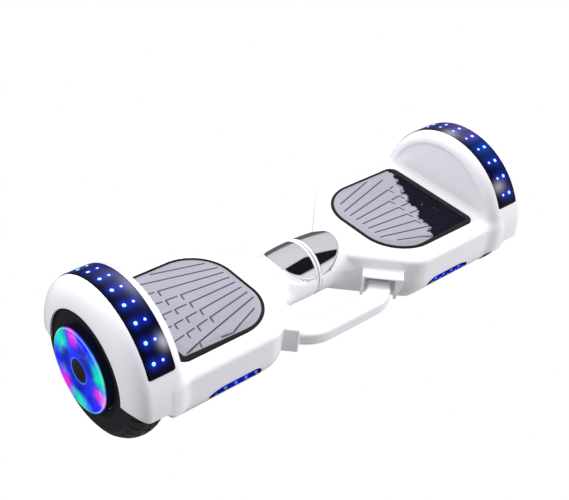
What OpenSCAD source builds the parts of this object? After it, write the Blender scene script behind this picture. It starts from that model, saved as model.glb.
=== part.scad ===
// Self balancing two-wheel board with a carry handle.
// Two half bodies twist about a hollow centre shaft. Each half carries a hub
// motor wheel under a round fender, a foot pad that presses on switches, a
// light strip over the fender and a light window low on the front wall.
// +X runs along the wheel axle to the right half, -Y is the front, where the
// handle is, and +Z is up. The origin is on the ground, midway between the
// wheels, straight under the centre shaft. Parts that come in pairs are drawn
// for the right half and mirrored for the left.

/* [Wheels] */
// Outside radius of the tyre, and height of the axle above the ground
tyre_r = 85; // [84:0.5:86]
// Overall width of the tyre
tyre_w = 47; // [45:0.5:47]
// Distance from the middle of the board to the middle of a tyre
wheel_x = 256.8; // [256.8:0.2:258]
// Radius of the lit hub lens
lens_r = 46.3; // [42:0.1:46.6]

/* [Body] */
// Half depth of the deck, front to back
deck_d = 89; // [88:0.5:89.5]
// Height of the deck above the ground
deck_z = 104; // [103.5:0.5:104]
// Height of the joint line between the upper and lower shells
split_z = 56; // [55:0.5:57]
// Height of the underside above the ground
belly_z = 34; // [32:0.5:35]
// Wall thickness of the plastic shells
wall = 3; // [2.8:0.1:3]
// Position of the 45 degree waist walls: their crossing point on the X axis
waist = 14; // [13:0.5:15]

/* [Fender] */
// Radius of the fender crest about the axle
fender_r = 93; // [92.5:0.1:93]
// Half angle that the light strip covers, from the top
strip_a = 66.5; // [60:0.5:66.5]
// Number of lamp pairs in a light strip
lamp_pairs = 10; // [8:1:10]
// Angle from one lamp pair to the next
lamp_pitch = 12.8; // [12:0.2:12.8]
// Height of the lower edge of the fender skirt
skirt_z = 74; // [70:0.5:76]
// Radius of the wheel opening in the fender's outer side
opening_r = 63.5; // [63:0.5:66]

/* [Foot pads] */
// Height of the top of the foot pad
pad_z = 108; // [107.5:0.5:108.5]
// Width of the black gasket round the pad
gasket_w = 3; // [2.5:0.5:3]

/* [Centre joint] */
// Outside radius of the hollow centre shaft
shaft_r = 12; // [11.5:0.5:12]
// Running clearance of the shaft in its bushes
run_c = 0.05; // [0.02:0.01:0.1]
// Outside radius of the collar rings
collar_r = 33.2; // [33:0.1:33.4]
// Half length of the pair of chrome caps
cap_l = 44; // [42:0.5:44]

/* [Handle] */
// Width of the handle bar seen from above
bar_w = 26.5; // [24:0.5:26.5]
// Height of the handle bar
bar_h = 16; // [14:0.5:16]
// Height of the underside of the handle bar
bar_z = 60.5; // [60.5:0.5:61]

/* [Hidden] */
$fn = 64;

skin = 0.05;                       // gap between parts that sit together
axle_z = tyre_r;
end_x = 226;                       // wheel side face of each half body
neck_x = 46;                       // where the waist walls meet the neck
corner_r = 34;                     // plan radius between wall and waist
corner_x = waist + deck_d + corner_r*(sqrt(2) - 1);
turn_z = 64;                       // height at which the walls start to lean in
lean = 5.5;                        // how far they lean in by the joint line
belly_in = 21.4;                   // and by the underside
plate_z = 78;                      // underside of the chassis floor
frame_z = 70;                      // underside of the chassis rim
// Places as [x, y], each one used at both +y and -y
screw_xy = [[80, 24], [91, 37], [204, 60]];
post_xy = [[106, 38], [164, 38]];
bolt_xy = [[201, 17], [211, 17]];

// ---------- helpers ----------
function oval(centre, radii, from, to, steps) = [for (i = [0:steps])
  let (angle = from + (to - from)*i/steps)
  centre + [radii[0]*cos(angle), radii[1]*sin(angle)]];
function arc(centre, radius, from, to, steps) = oval(centre, [radius, radius], from, to, steps);
function swap(points) = [for (p = points) [p[1], p[0]]];
function left_normal(side) = [-side[1], side[0]]/norm(side);
// Moves every side of a counter-clockwise outline inwards by a distance
function inset(outline, distance) = let (count = len(outline)) [for (i = [0:count - 1])
  let (here = outline[i],
       before = left_normal(here - outline[(i + count - 1)%count]),
       after = left_normal(outline[(i + 1)%count] - here))
  here + distance*(before + after)/(1 + before*after)];

// Z prism of an outline
module slab(outline, bottom, top) {
  translate([0, 0, bottom]) linear_extrude(top - bottom) polygon(outline);
}
// Box between two opposite corners
module box(low, high) { translate(low) cube(high - low); }
// Cylinder or cone along X on the axle line
module rod(radius, from, to, end_radius = -1) {
  translate([from, 0, axle_z]) rotate([0, 90, 0])
    cylinder(h = to - from, r1 = radius, r2 = end_radius < 0 ? radius : end_radius);
}
// Revolves [x, radius] points about the axle line; middle 180 is the top, 360 the bottom
module spin(points, sweep = 360, middle = 180) {
  translate([0, 0, axle_z]) rotate([0, 90, 0])
    if (sweep == 360) rotate_extrude($fn = 96) polygon(swap(points));
    else rotate_extrude(angle = sweep, start = middle - sweep/2, $fn = 96) polygon(swap(points));
}
module ring(inner, outer, from, to, sweep = 360, middle = 180) {
  spin([[from, inner], [to, inner], [to, outer], [from, outer]], sweep, middle);
}
// Cylinder along Y
module peg(x, z, radius, from, to) {
  translate([x, to, z]) rotate([90, 0, 0]) cylinder(h = to - from, r = radius);
}
// Outline in Y and Z, drawn out along X
module along(outline, from, to) {
  translate([from, 0, 0]) rotate([90, 0, 90]) linear_extrude(to - from) polygon(outline);
}
module left() { mirror([1, 0, 0]) children(); }
// Children drawn on the rear (+y) side, and mirrored to the front
module both_sides() { for (s = [0, 1]) mirror([0, s, 0]) children(); }
module at_each(places, z) {
  for (p = places) for (s = [-1, 1]) translate([p[0], s*p[1], z]) children();
}
module round_axle(count) {
  for (i = [0:count - 1]) translate([0, 0, axle_z]) rotate([360/count*i, 0, 0]) children();
}
// Local frame on the waist wall: +x along the wall to the front, -y outwards
module on_waist() {
  translate([waist/2 + 63, waist/2 - 63, 0]) rotate([0, 0, -45]) children();
}

// ---------- body outlines ----------
// Body outline with its walls, wheel end and neck end moved in
function plan_at(walls, wheel_end, neck_end) =
  let (x = neck_x + neck_end, y = x - waist - walls*sqrt(2)) concat(
    [[end_x - wheel_end, walls - deck_d], [end_x - wheel_end, deck_d - walls]],
    arc([corner_x, deck_d - corner_r], corner_r - walls, 90, 135, 5),
    [[x, y], [x, -y]],
    arc([corner_x, corner_r - deck_d], corner_r - walls, 225, 270, 5));
plan = plan_at(0, 0, 0);
pad_plan = concat(
  arc([204, -56.5], 9, 270, 360, 4), arc([204, 60.5], 9, 0, 90, 4),
  arc([134, 21.5], 48, 90, 180, 8), arc([134, -17.5], 48, 180, 270, 8));
cap_plan = oval([0, 0], [cap_l, collar_r], 0, 350, 35);

// ---------- wheel and hub motor ----------
motor_x0 = 236;                    // inner face of the motor cover
motor_x1 = 277.5;                  // outer face of the rotor shell
motor_wall = 3.5;
inside_x0 = motor_x0 + motor_wall; // hollow of the motor
inside_x1 = motor_x1 - motor_wall;
rotor_r = 58.4;
rotor_in_r = 54.5;
bearing_r = 17.5;
boss_r = 22;                       // boss round each bearing
boss_l = 10.5;
axle_r = 8;
journal_r = 7.5;                   // thinner part of the axle, inside the motor
slots = 27;
hub_x = wheel_x + 33.2;            // outer face of the hub lens

module tyre() color([0.07, 0.07, 0.08]) {
  half_w = tyre_w/2;
  base_r = 61.7;
  crown = [for (i = [0:18]) let (angle = 180*i/18)
    [wheel_x + half_w*cos(angle), base_r + (tyre_r - base_r)*pow(sin(angle), 0.84)]];
  spin(concat([[wheel_x + half_w - 0.8, lens_r + 0.9]], crown,
    [[wheel_x - half_w + 0.6, 51], [motor_x0 - skin, 51], [motor_x0 - skin, rotor_r + skin],
     [motor_x1 + skin, rotor_r + skin], [motor_x1 + skin, lens_r + 0.9]]));
}
module rotor_shell() color([0.72, 0.73, 0.75])
  spin([[inside_x1, 0], [motor_x1, 0], [motor_x1, rotor_r], [motor_x0, rotor_r],
        [motor_x0, rotor_in_r], [inside_x1, rotor_in_r], [inside_x1, boss_r],
        [inside_x1 - boss_l, boss_r], [inside_x1 - boss_l, bearing_r + skin],
        [inside_x1, bearing_r + skin]]);
module motor_cover() color([0.66, 0.67, 0.70]) difference() {
  spin([[motor_x0, 10], [inside_x0, 10], [inside_x0, bearing_r + skin],
        [inside_x0 + boss_l, bearing_r + skin], [inside_x0 + boss_l, boss_r],
        [inside_x0, boss_r], [inside_x0, rotor_in_r - 0.1], [motor_x0, rotor_in_r - 0.1]]);
  round_axle(6) translate([motor_x0 - 1, 0, 48]) rotate([0, 90, 0]) cylinder(h = 6, r = 1.6);
}
module magnet_ring() color([0.35, 0.36, 0.38]) ring(51.7, rotor_in_r - skin, 241.5, 270);
module stator() color([0.72, 0.45, 0.22]) difference() {
  union() {
    ring(28, 51, 243.5, 266.5);
    ring(journal_r + skin, 29, 251, 259);
  }
  // slots with narrow mouths
  round_axle(slots) box([242, -1.9, 35], [268, 1.9, 49]);
  round_axle(slots) box([242, -0.8, 48], [268, 0.8, 53]);
}
module wheel_bearings() color([0.80, 0.81, 0.83])
  for (x = [inside_x0, inside_x1 - boss_l])
    ring(journal_r + run_c, bearing_r, x + 0.1, x + boss_l - 0.1);
module motor_axle() color([0.62, 0.63, 0.66]) difference() {
  union() {
    rod(axle_r, 194.6, inside_x0);
    rod(journal_r, inside_x0 - 0.1, 273.6);
  }
  rod(3.5, 194, 246);
  // flats for the clamp bolts
  both_sides() box([197, 7, axle_z - 9], [215, 13, axle_z + 9]);
}
module hub_lens() color([0.25, 0.45, 0.95, 0.8])
  spin(concat([[motor_x1 + skin, lens_r - 3.5], [motor_x1 + skin, lens_r]],
    oval([hub_x - 1.5, lens_r - 1.6], [1.5, 1.6], 90, 0, 4),
    [[hub_x, 13.2], [hub_x - 2.4, 13.2], [hub_x - 2.4, lens_r - 9], [hub_x - 6, lens_r - 3.5]]));
module hub_cap() color([0.05, 0.05, 0.06])
  spin([[277.6, 0], [hub_x - 1.6, 0], [hub_x - 1.6, 9], [hub_x, 11], [hub_x, 13], [277.6, 13]]);

// ---------- frame ----------
tube_r = 17.5;                     // chassis tube round the shaft
bush_r = 15;
bolt_r = 2.5;
screw_r = 1.9;
boss_z = 44;                       // lower end of the chassis screw bosses
groove_r = 11.2;                   // floor of the circlip groove
barrel_r = 9.5;                    // charge port and button bodies
port_x = 135;
button_x = 172;
barrel_z = 78;

module tray() difference() {
  union() {
    slab(inset(plan, 8), plate_z, 83);
    difference() {
      slab(inset(plan, 8), frame_z, 90);
      slab(inset(plan, 12), frame_z - 1, 91);
    }
  }
  // lightening windows in the floor
  both_sides() box([118, 8, 77], [152, 34, 84]);
  box([194, -29, 69], [222, 29, 85]);
}
// Open-bottomed block that takes the axle and its clamp
module axle_block() {
  box([194, -29, axle_z + 0.1], [217, 29, 98]);
  both_sides() box([190, 29, frame_z], [217, 34, 98]);
  box([190, -34, plate_z], [194.1, 34, 98]);
}
module chassis(left_side) color([0.60, 0.61, 0.63]) difference() {
  union() {
    tray();
    rod(tube_r, 6, 74);
    box([52, -30, plate_z], [74, 30, 84.9]);
    axle_block();
    at_each(post_xy, 82) cylinder(h = 4, r = 4);
    at_each(screw_xy, boss_z) cylinder(h = 35, r = 5);
  }
  // shaft seat: the left half grips the shaft, the right half holds the bushes
  rod(left_side ? shaft_r + skin : bush_r, 5, 90);
  box([75, -9, 76], [100, 9, 94]);
  // axle seat, open below
  rod(axle_r + skin, 189, 224);
  box([189, -8.05, 69], [224, 8.05, axle_z]);
  at_each(bolt_xy, 80) cylinder(h = 15, r = bolt_r + skin);
  at_each(screw_xy, boss_z - 1) cylinder(h = 20, r = screw_r + skin);
  // flat on the shaft tube under the deck
  box([40, -20, 100.8], [80, 20, 110]);
  // clear of the battery's end and of the neck wall
  box([189, -36, 69], [196.3, 36, 76.4]);
  both_sides() box([50, 17.6, 84.9], [58.3, 30, 91]);
  // room for the two rear barrels
  if (!left_side) for (x = [port_x, button_x]) peg(x, barrel_z, 10.5, 70, 85);
}
module axle_clamp() color([0.55, 0.56, 0.58]) difference() {
  box([196.5, -26, frame_z], [215.5, 26, 84.6]);
  rod(axle_r + skin, 190, 224);
  at_each(bolt_xy, frame_z - 1) cylinder(h = 20, r = 2.7);
}
module clamp_bolts() color([0.20, 0.20, 0.22]) at_each(bolt_xy, 0) difference() {
  union() {
    translate([0, 0, frame_z - 0.1]) cylinder(h = 24.5, r = bolt_r);
    translate([0, 0, frame_z - 5]) cylinder(h = 5 - skin, r = 4.2);
  }
  translate([0, 0, frame_z - 6]) cylinder(h = 3.5, r = 2.3, $fn = 6);
}
module pivot_shaft() color([0.70, 0.71, 0.73]) difference() {
  rod(shaft_r, -64, 66);
  rod(8.5, -65, 67);
  // circlip groove
  difference() {
    rod(14, 61.2, 62.8);
    rod(groove_r, 61, 63);
  }
}
module pivot_bushes() color([0.72, 0.55, 0.28]) {
  ring(shaft_r + run_c, bush_r - skin, 8, 22);
  ring(shaft_r + run_c, bush_r - skin, 46, 60.9);
}
module shaft_circlip() color([0.25, 0.25, 0.27]) difference() {
  ring(groove_r + skin/2, 14.6, 61.3, 62.7);
  box([61, -3, axle_z - 20], [63, 3, axle_z - 5]);
}
module centre_cable() color([0.10, 0.10, 0.11]) rod(5, -88, 88);

// ---------- fender ----------
side_x = 266;                      // centre of the fender's oval outer side
side_r = 60;
side_w = 18;
side_in_w = 15.6;
fender_t = 4.8;                    // thickness at the crest
shoulder_r = 13;
side_h = fender_r - side_r;
side_in_h = side_h - fender_t;
strip_x0 = 235;                    // edges of the strip's groove
strip_x1 = 266.4;
strip_t = 2.75;

// Point on an oval side at the radius of the wheel opening
function lip(width, height) =
  [side_x + width*cos(asin((opening_r - side_r)/height)), opening_r];
// Cross section as [x, radius]
fender_section = concat(
  [[end_x - 3, 10]],
  arc([end_x - 3 + shoulder_r, fender_r - shoulder_r], shoulder_r, 180, 90, 5),
  oval([side_x, side_r], [side_w, side_h], 90, 10, 8),
  [lip(side_w, side_h), lip(side_in_w, side_in_h)],
  oval([side_x, side_r], [side_in_w, side_in_h], 10, 90, 7),
  [[231, fender_r - fender_t], [end_x, fender_r - 10], [end_x, 10]]);

// Half round over the wheel, with straight skirts below the axle
module fender() {
  spin(fender_section, 180);
  both_sides() slab(fender_section, skirt_z, axle_z);
}
// A small and a large lamp at each step round the fender
module lamp_row(radius, from, to)
  for (i = [0:lamp_pairs - 1]) for (k = [[246, radius*0.75], [256.5, radius]])
    translate([0, 0, axle_z]) rotate([(i - (lamp_pairs - 1)/2)*lamp_pitch, 0, 0])
      translate([k[0], 0, from]) cylinder(h = to - from, r = k[1], $fn = 24);
module fender_strip() color([0.04, 0.04, 0.06]) difference() {
  ring(fender_r - strip_t, fender_r, strip_x0 + 0.2, strip_x1 - 0.2, 2*strip_a);
  lamp_row(2.7, fender_r - 5, fender_r - 1);
}
module fender_lamps() color([0.35, 0.55, 1.0]) lamp_row(2.5, fender_r - 2.6, fender_r - 1.1);

// ---------- neck and centre trim ----------
neck_r = 32.5;
neck_top = 104;
tube_hole_r = 18.5;

function cone_r(x) = 33 - (x - 4)*0.256;
// Tapered crown surface, moved in by a depth
module cone(depth, from, to) { rod(cone_r(from) - depth, from, to, cone_r(to) - depth); }
// Side view of the neck: its top sweeps up to deck height
module neck_side() {
  outline = concat([[50, axle_z], [50, neck_top]],
    [for (i = [8:-1:0]) [4 + 5*i, 88 + (neck_top - 88)*pow(i/8, 2)]],
    [[4, axle_z]]);
  translate([0, 40, 0]) rotate([90, 0, 0]) linear_extrude(80) polygon(outline);
}
// A round belly, and a tapered crown that the bright cap sits on
module neck() difference() {
  union() {
    intersection() {
      rod(neck_r, 4, 50);
      neck_side();
    }
    intersection() {
      cone(0.3, 4, 62);
      box([4, -40, axle_z], [62, 40, 120]);
    }
  }
  difference() {
    slab(cap_plan, 90, 120);
    cone(2.1, 0, 62);
  }
  cone(5, 3, 60);
}
module chrome_cap() color([0.80, 0.81, 0.84]) intersection() {
  difference() {
    cone(0, 4.2, cap_l + 2);
    cone(2, 0, 60);
  }
  slab(inset(cap_plan, 0.15), 90.3, 120);
}
module collar_ring() color([0.93, 0.93, 0.95]) ring(tube_hole_r, collar_r, 0.6, 3.9);

// ---------- light window ----------
// Window outline moved in by a margin, cut along Y
module window_cut(margin, from, to) {
  height = 10 - margin;
  intersection() {
    translate([0, to, 0]) rotate([90, 0, 0]) linear_extrude(to - from) polygon(concat(
      arc([135.5, 60], height, 90, 270, 10),
      oval([172, 60], [21 - margin, height], -90, 90, 10)));
    box([110, from - 1, 57.2 + max(margin, 0)], [205, to + 1, 80]);
  }
}
// [y, z] sections that follow the leaning wall
pane = [[-89.7, 72], [-89.7, 63.78], [-84.35, 56], [-79.6, 56], [-85.8, 65], [-85.8, 72]];
flange = [[-85.95, 71.8], [-85.95, 65.06], [-81.1, 57.5], [-78.9, 57.5], [-83.9, 66],
          [-83.9, 71.8]];
module light_window() color([0.05, 0.10, 0.75])
  // the pane, and a wider flange behind the wall
  for (part = [[0.1, pane], [-1.8, flange]]) intersection() {
    window_cut(part[0], -deck_d - 3, -deck_d + 13);
    along(part[1], 115, 200);
  }

// ---------- shells ----------
arm_x = 1.8;                       // middle of a handle arm, along the waist wall
arm_screw_y = [-13, -7];

module at_arm_screws(z) on_waist() for (y = arm_screw_y) translate([arm_x, y, z]) children();
module upper_walls() difference() {
  union() {
    slab(plan, turn_z, deck_z);
    hull() {
      slab(plan, turn_z - 0.1, turn_z + 0.1);
      slab(plan_at(lean, 0, 0), split_z, split_z + 0.1);
    }
  }
  slab(inset(plan, wall), turn_z + 1, deck_z - wall);
  hull() {
    slab(inset(plan, wall), turn_z + 0.9, turn_z + 1.1);
    slab(plan_at(9.4, wall, wall), split_z - 1, split_z - 0.9);
  }
  cone(5, 4, 60);
}
// Socket for the fixed end of the handle, or hood round its free end
module handle_mount(left_side) {
  bottom = left_side ? bar_z - 3.5 : 60;
  on_waist() {
    box([-18.3, -17.7, bottom], [22.7, 1, left_side ? 88 : 90]);
    box([-18.3, -17.7, bottom], [22.7, 5.5, turn_z]);
  }
}
module top_shell(left_side) color([0.94, 0.94, 0.96]) difference() {
  union() {
    upper_walls();
    // corners in front of and behind the tyre, up to the fender skirt
    both_sides() along([[83.85, 57.6], [84.6, 57.6], [deck_d, turn_z], [deck_d, 80],
      [88.06, 80], [87.7, 76], [86.9, 70], [85.7, 64]], end_x - 0.5, 237);
    // ledge under the gasket
    difference() {
      slab(inset(pad_plan, -gasket_w - 3), deck_z - 6, deck_z - wall);
      slab(inset(pad_plan, 4), deck_z - 7, deck_z);
    }
    fender();
    neck();
    handle_mount(left_side);
  }
  slab(inset(pad_plan, -gasket_w), deck_z - wall, deck_z + 1);
  // room for the shaft tube
  intersection() {
    rod(tube_hole_r, 40, 62);
    box([40, -20, 50], [62, 20, 100.95]);
  }
  // axle slot
  rod(12, 220, 230);
  box([220, -12, 50], [230, 12, axle_z]);
  ring(fender_r - strip_t - skin, fender_r + 1, strip_x0, strip_x1, 2*strip_a + 0.4);
  window_cut(0, -deck_d - 4, -deck_d + 12);
  if (left_side) {
    on_waist() box([arm_x - bar_w/2 - skin, -19, bar_z - skin],
                   [arm_x + bar_w/2 + skin, -2.5, bar_z + bar_h + skin]);
    at_arm_screws(50) cylinder(h = 20, r = 2);
  }
  if (!left_side) {
    on_waist() box([-15.3, -19, 59], [19.7, -0.1, 87]);
    for (x = [port_x, button_x]) peg(x, barrel_z, barrel_r + 0.1, deck_d - 5, deck_d + 5);
  }
}
module bottom_shell(left_side) color([0.92, 0.92, 0.94]) difference() {
  union() {
    difference() {
      hull() {
        slab(plan_at(lean, 0, 0), split_z - 0.5, split_z - skin);
        slab(plan_at(belly_in, 4, 15), belly_z, belly_z + 1);
      }
      hull() {
        slab(plan_at(9.1, wall, 3.4), split_z - 0.6, split_z + 1);
        slab(plan_at(23.2, 7, 17), belly_z + 2.6, belly_z + 3);
      }
    }
    at_each(screw_xy, belly_z + 0.2) cylinder(h = boss_z - skin - belly_z - 0.2, r = 5.5);
    // lower half of the neck, and its tail inside the shell
    ring(neck_r - 3, neck_r, 4, neck_x - 0.1, 179, 360);
    intersection() {
      ring(neck_r - 3, neck_r, neck_x - 1, 58);
      box([neck_x - 2, -30, 50], [58, 30, split_z - skin]);
    }
  }
  at_each(screw_xy, belly_z - 1) {
    cylinder(h = 20, r = 2.1);
    cylinder(h = 5, r = 4.4);
  }
  // sound holes under the speaker
  if (!left_side) for (a = [0:60:300])
    translate([speaker_x + 9*cos(a), 9*sin(a), belly_z - 1]) cylinder(h = 6, r = 1.6);
}
module shell_screws() color([0.25, 0.25, 0.27]) at_each(screw_xy, belly_z) difference() {
  union() {
    translate([0, 0, 4 - 2.8 - skin]) cylinder(h = 2.8, r = 4);
    translate([0, 0, 3]) cylinder(h = 22, r = screw_r);
  }
  cylinder(h = 2.6, r = 1.6, $fn = 6);
}

// ---------- foot pad and its switches ----------
module foot_pad() color([0.62, 0.61, 0.67]) {
  slab(inset(pad_plan, 0.3), deck_z - 1, pad_z);
  at_each(post_xy, 95.8) cylinder(h = deck_z - 96, r = 5);
}
module pad_gasket() color([0.08, 0.08, 0.09]) difference() {
  slab(inset(pad_plan, skin - gasket_w), deck_z - wall + skin, deck_z + 2.4);
  slab(pad_plan, deck_z - wall - 1, deck_z + 4);
}
module sensor_board() color([0.10, 0.35, 0.22]) {
  box([96, -46, 86 + skin], [172, 46, 87.6]);
  at_each(post_xy, 0) box([-6, -5, 87.5], [6, 5, 93.8]);
  box([124, -12, 87.5], [144, 8, 90]);
  box([152, -6, 87.5], [162, 14, 94]);
}

// ---------- inside the halves ----------
cell_pitch = 18.4;
cell_l = 129;
row_z = 9.1;                       // cell rows above and below the pack's middle
board_top = 63.5;
speaker_x = 112;

// Two rows of five cells along Y
module battery_pack() color([0.15, 0.32, 0.62]) left() translate([103.9, 0, 57.4]) {
  box([cell_pitch/2, -cell_l/2, -2*row_z], [4.5*cell_pitch, cell_l/2, 2*row_z]);
  for (i = [0:4]) for (j = [-1, 1])
    peg((i + 0.5)*cell_pitch, j*row_z, 9.15, -cell_l/2, cell_l/2);
}
module battery_bracket() color([0.45, 0.46, 0.48]) left() {
  box([136, -66, 37.2], [160, 66, 38.7]);
  both_sides() box([136, 64.6, 37.2], [160, 66, plate_z - 0.1]);
}
module main_board() color([0.05, 0.30, 0.18]) {
  box([100, -45, 62], [190, 45, 63.6]);
  both_sides() box([108, 28, board_top], [182, 42, 70]);
  for (i = [0:3]) translate([115 + 20*i, 0, board_top]) cylinder(h = 10, r = 6);
  at_each([[103, 24], [187, 24]], board_top) cylinder(h = 14.4, r = 2.5);
}
module speaker() color([0.12, 0.12, 0.13]) translate([speaker_x, 0, belly_z]) {
  translate([0, 0, 2.8]) cylinder(h = 5, r = 20);
  translate([0, 0, 7.6]) cylinder(h = 8, r1 = 18, r2 = 12);
  translate([0, 0, 15.4]) cylinder(h = 6, r = 11);
}

// ---------- handle ----------
arm_line = waist + 112 + arm_x*sqrt(2); // x - y along the middle of the right arm
bar_y = -93;                       // front face of the bar

// Corner at an arm's end: offset from its middle line, gap from the waist wall
function arm_end(side, offset, gap) =
  let (difference_xy = arm_line + offset*sqrt(2), sum_xy = waist - gap*sqrt(2))
  [side*(difference_xy + sum_xy)/2, (sum_xy - difference_xy)/2];
// Corner where an arm's edge meets a face of the bar
function bar_corner(side, offset, y) = [side*(arm_line + offset*sqrt(2) + y), y];
module handle() color([0.95, 0.95, 0.97]) difference() {
  half_w = bar_w/2;
  slab([arm_end(-1, half_w, 3),
        bar_corner(-1, half_w, bar_y), bar_corner(1, half_w, bar_y),
        arm_end(1, half_w, 4.2), arm_end(1, -half_w, 4.2),
        bar_corner(1, -half_w, bar_y + bar_w), bar_corner(-1, -half_w, bar_y + bar_w),
        arm_end(-1, -half_w, 3)], bar_z, bar_z + bar_h);
  left() at_arm_screws(bar_z - 1) cylinder(h = 13, r = 2);
}
module handle_screws() color([0.25, 0.25, 0.27])
  left() at_arm_screws(bar_z - 3.4) cylinder(h = 15, r = 1.95);

// ---------- charge port and button, on the rear wall ----------
module charge_port() color([0.12, 0.12, 0.13]) difference() {
  union() {
    peg(port_x, barrel_z, barrel_r, deck_d - 14, deck_d + 0.1);
    peg(port_x, barrel_z, 11.5, deck_d + skin, deck_d + 1.9);
    box([port_x - 14.5, deck_d + skin, barrel_z - 5], [port_x - 10, deck_d + 1.9, barrel_z + 5]);
  }
  peg(port_x, barrel_z, 6.1, deck_d - 10, deck_d + 5);
}
module charge_port_cap() color([0.14, 0.14, 0.15]) {
  peg(port_x, barrel_z, 11, deck_d + 2.1, deck_d + 4);
  box([port_x - 13.5, deck_d + 2.1, barrel_z - 3.5], [port_x - 6, deck_d + 3.6, barrel_z + 3.5]);
  // hinge roll
  translate([port_x - 13, deck_d + 2.9, barrel_z - 4]) cylinder(h = 8, r = 0.75);
}
module power_button() color([0.75, 0.76, 0.78]) {
  peg(button_x, barrel_z, 6.8, deck_d - 6, deck_d + 3.2);
  peg(button_x, barrel_z, 2.5, deck_d - 10, deck_d - 5.9);
}
module button_bezel() color([0.10, 0.10, 0.11]) difference() {
  union() {
    peg(button_x, barrel_z, barrel_r, deck_d - 13.8, deck_d + 0.1);
    peg(button_x, barrel_z, 11.5, deck_d + skin, deck_d + 1.6);
  }
  peg(button_x, barrel_z, 6.9, deck_d - 8, deck_d + 5);
  peg(button_x, barrel_z, 2.7, deck_d - 12, deck_d);
}

left() chassis(true);  // left_chassis
chassis(false);  // right_chassis
left() axle_clamp();  // left_axle_clamp
axle_clamp();  // right_axle_clamp
left() clamp_bolts();  // left_clamp_bolts
clamp_bolts();  // right_clamp_bolts
left() motor_axle();  // left_motor_axle
motor_axle();  // right_motor_axle
left() stator();  // left_stator
stator();  // right_stator
left() wheel_bearings();  // left_wheel_bearings
wheel_bearings();  // right_wheel_bearings
left() magnet_ring();  // left_magnet_ring
magnet_ring();  // right_magnet_ring
left() rotor_shell();  // left_rotor_shell
rotor_shell();  // right_rotor_shell
left() motor_cover();  // left_motor_cover
motor_cover();  // right_motor_cover
left() tyre();  // left_tyre
tyre();  // right_tyre
left() hub_lens();  // left_hub_lens
hub_lens();  // right_hub_lens
left() hub_cap();  // left_hub_cap
hub_cap();  // right_hub_cap
left() top_shell(true);  // left_top_shell
top_shell(false);  // right_top_shell
left() bottom_shell(true);  // left_bottom_shell
bottom_shell(false);  // right_bottom_shell
left() fender_strip();  // left_fender_strip
fender_strip();  // right_fender_strip
left() fender_lamps();  // left_fender_lamps
fender_lamps();  // right_fender_lamps
left() foot_pad();  // left_foot_pad
foot_pad();  // right_foot_pad
left() pad_gasket();  // left_pad_gasket
pad_gasket();  // right_pad_gasket
left() sensor_board();  // left_sensor_board
sensor_board();  // right_sensor_board
left() chrome_cap();  // left_chrome_cap
chrome_cap();  // right_chrome_cap
left() light_window();  // left_light_window
light_window();  // right_light_window
left() collar_ring();  // left_collar_ring
collar_ring();  // right_collar_ring
left() shell_screws();  // left_shell_screws
shell_screws();  // right_shell_screws
pivot_shaft();
pivot_bushes();
shaft_circlip();
centre_cable();
battery_pack();
battery_bracket();
main_board();
speaker();
handle();
handle_screws();
charge_port();
charge_port_cap();
power_button();
button_bezel();
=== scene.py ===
"""Self balancing two-wheel board with a carry handle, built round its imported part.

The axle line runs along X at height AXLE, with the left half at -X and the right half at +X.
The carry handle, the light windows and the camera are on the -Y side. Pieces are shaped as the
right one of a pair and mirrored for the left. Lengths are millimetres; meshes are in metres.
"""
import math
from functools import cached_property, partial, reduce

import bpy
import numpy as np
from mathutils import Matrix, Vector


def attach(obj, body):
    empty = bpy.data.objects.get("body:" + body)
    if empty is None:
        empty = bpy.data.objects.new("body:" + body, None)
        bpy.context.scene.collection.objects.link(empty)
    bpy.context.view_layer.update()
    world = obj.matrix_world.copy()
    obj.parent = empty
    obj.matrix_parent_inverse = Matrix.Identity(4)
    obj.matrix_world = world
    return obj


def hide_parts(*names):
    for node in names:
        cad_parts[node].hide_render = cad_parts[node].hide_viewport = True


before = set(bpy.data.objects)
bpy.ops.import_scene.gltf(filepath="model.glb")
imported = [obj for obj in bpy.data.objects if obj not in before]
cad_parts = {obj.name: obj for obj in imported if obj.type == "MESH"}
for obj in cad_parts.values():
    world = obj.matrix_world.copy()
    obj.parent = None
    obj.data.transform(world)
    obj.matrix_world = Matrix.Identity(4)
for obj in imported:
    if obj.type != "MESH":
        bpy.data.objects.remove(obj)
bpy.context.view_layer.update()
SIDES = ("left", "right")

# ------------------------------------------------------------------ driving sizes
SHELL_CELL = 1.25  # grid step of the shell surfaces
PAD_CELL = 0.62
TYRE_STEPS = 864
DIAGONAL = math.sqrt(0.5)

AXLE = 85.0  # height of the axle line
DECK, SPLIT, BELLY = 104.0, 56.0, 34.0  # heights of the top, the shell joint and the underside
HALF_END, HORN_END = 226.0, 237.0  # x of the end wall inside and outside the wheel well radius
HALF_DEPTH, CORNER_R = 89, 34.0  # axle line to the long walls, and the corners of the outline
WAIST = 14  # x where the 45 degree waist walls would meet on the axle line
CORNER_X = WAIST + HALF_DEPTH + CORNER_R * (math.sqrt(2) - 1)
WALL, SHOULDER_R = 3, 9
COLLAR = 4.0  # x where the shells start
TUBE_R, TUBE_END = 32.5, 70  # round neck below the cap
CROWN_RUN = 40  # length of the crown's first taper
WELL_R = 88.2
SCREWS = [(80, 24), (80, -24), (91, 37), (91, -37), (204, 60), (204, -60)]  # x, y

PAD_START, PAD_END, PAD_HALF_DEPTH, PAD_Y = 86, 213, 67.5, 2
PAD_TOP = 108

STRIP_START, STRIP_END, STRIP_ANGLE = 235.2, 266.2, 66.5  # x range, degrees each side of the top
STRIP_GAP, STRIP_SEAT_R = 0.2, 90.2
ARC_R = 93  # radius at which lengths along the strip are measured
PITCH, PAIRS = 12.8, 10  # degrees between lamp pairs
INNER_LAMP_X, OUTER_LAMP_X, LAMP_R = 246, 256.5, 93.9

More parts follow.
